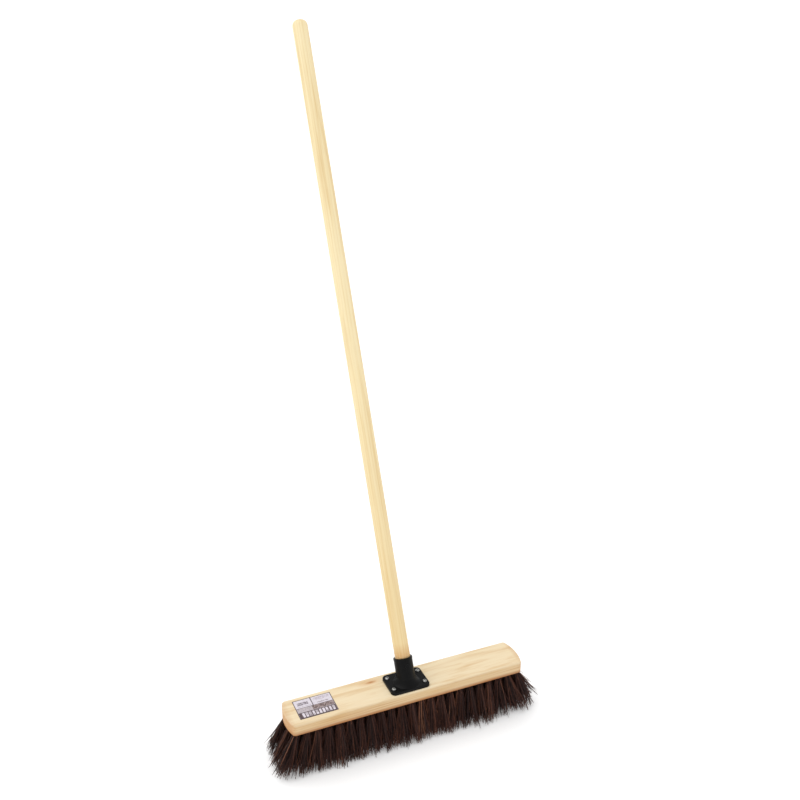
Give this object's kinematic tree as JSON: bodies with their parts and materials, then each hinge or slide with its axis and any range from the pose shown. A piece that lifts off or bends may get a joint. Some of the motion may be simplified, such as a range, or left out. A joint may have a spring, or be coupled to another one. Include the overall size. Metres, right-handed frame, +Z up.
{
  "type": "push broom",
  "caption": "Long-handled push broom: round wooden handle in a black angled socket screwed to a wide wooden stock filled with rows of stiff brown fibre tufts.",
  "frame": {"origin": "centre of the sweeping face, where the tips of the tufts meet the floor", "axes": "+X along the stock, +Y the way the handle leans, +Z up"},
  "size_m": [0.4962, 0.5427, 1.2156],
  "materials": {
    "stock_wood": "smooth planed pale wood, unvarnished",
    "handle_wood": "smooth turned pale wood",
    "socket_black": "satin moulded black",
    "zinc_screw": "bright zinc plate",
    "black_screw": "blackened steel",
    "label_paper": "printed paper label",
    "fibre": "stiff plant fibre, dark reddish brown",
    "anchor_steel": "bare steel strip"
  },
  "bodies": {
    "root": {"stock": "stock_wood", "handle": "handle_wood", "socket": "socket_black", "socket_screws": "zinc_screw", "handle_screw": "black_screw", "label": "label_paper", "tufts_row_1": "fibre", "tufts_row_2": "fibre", "tufts_row_3": "fibre", "tufts_row_4": "fibre", "tufts_row_5": "fibre", "anchors_row_1": "anchor_steel", "anchors_row_2": "anchor_steel", "anchors_row_3": "anchor_steel", "anchors_row_4": "anchor_steel", "anchors_row_5": "anchor_steel"}
  },
  "joints": []
}
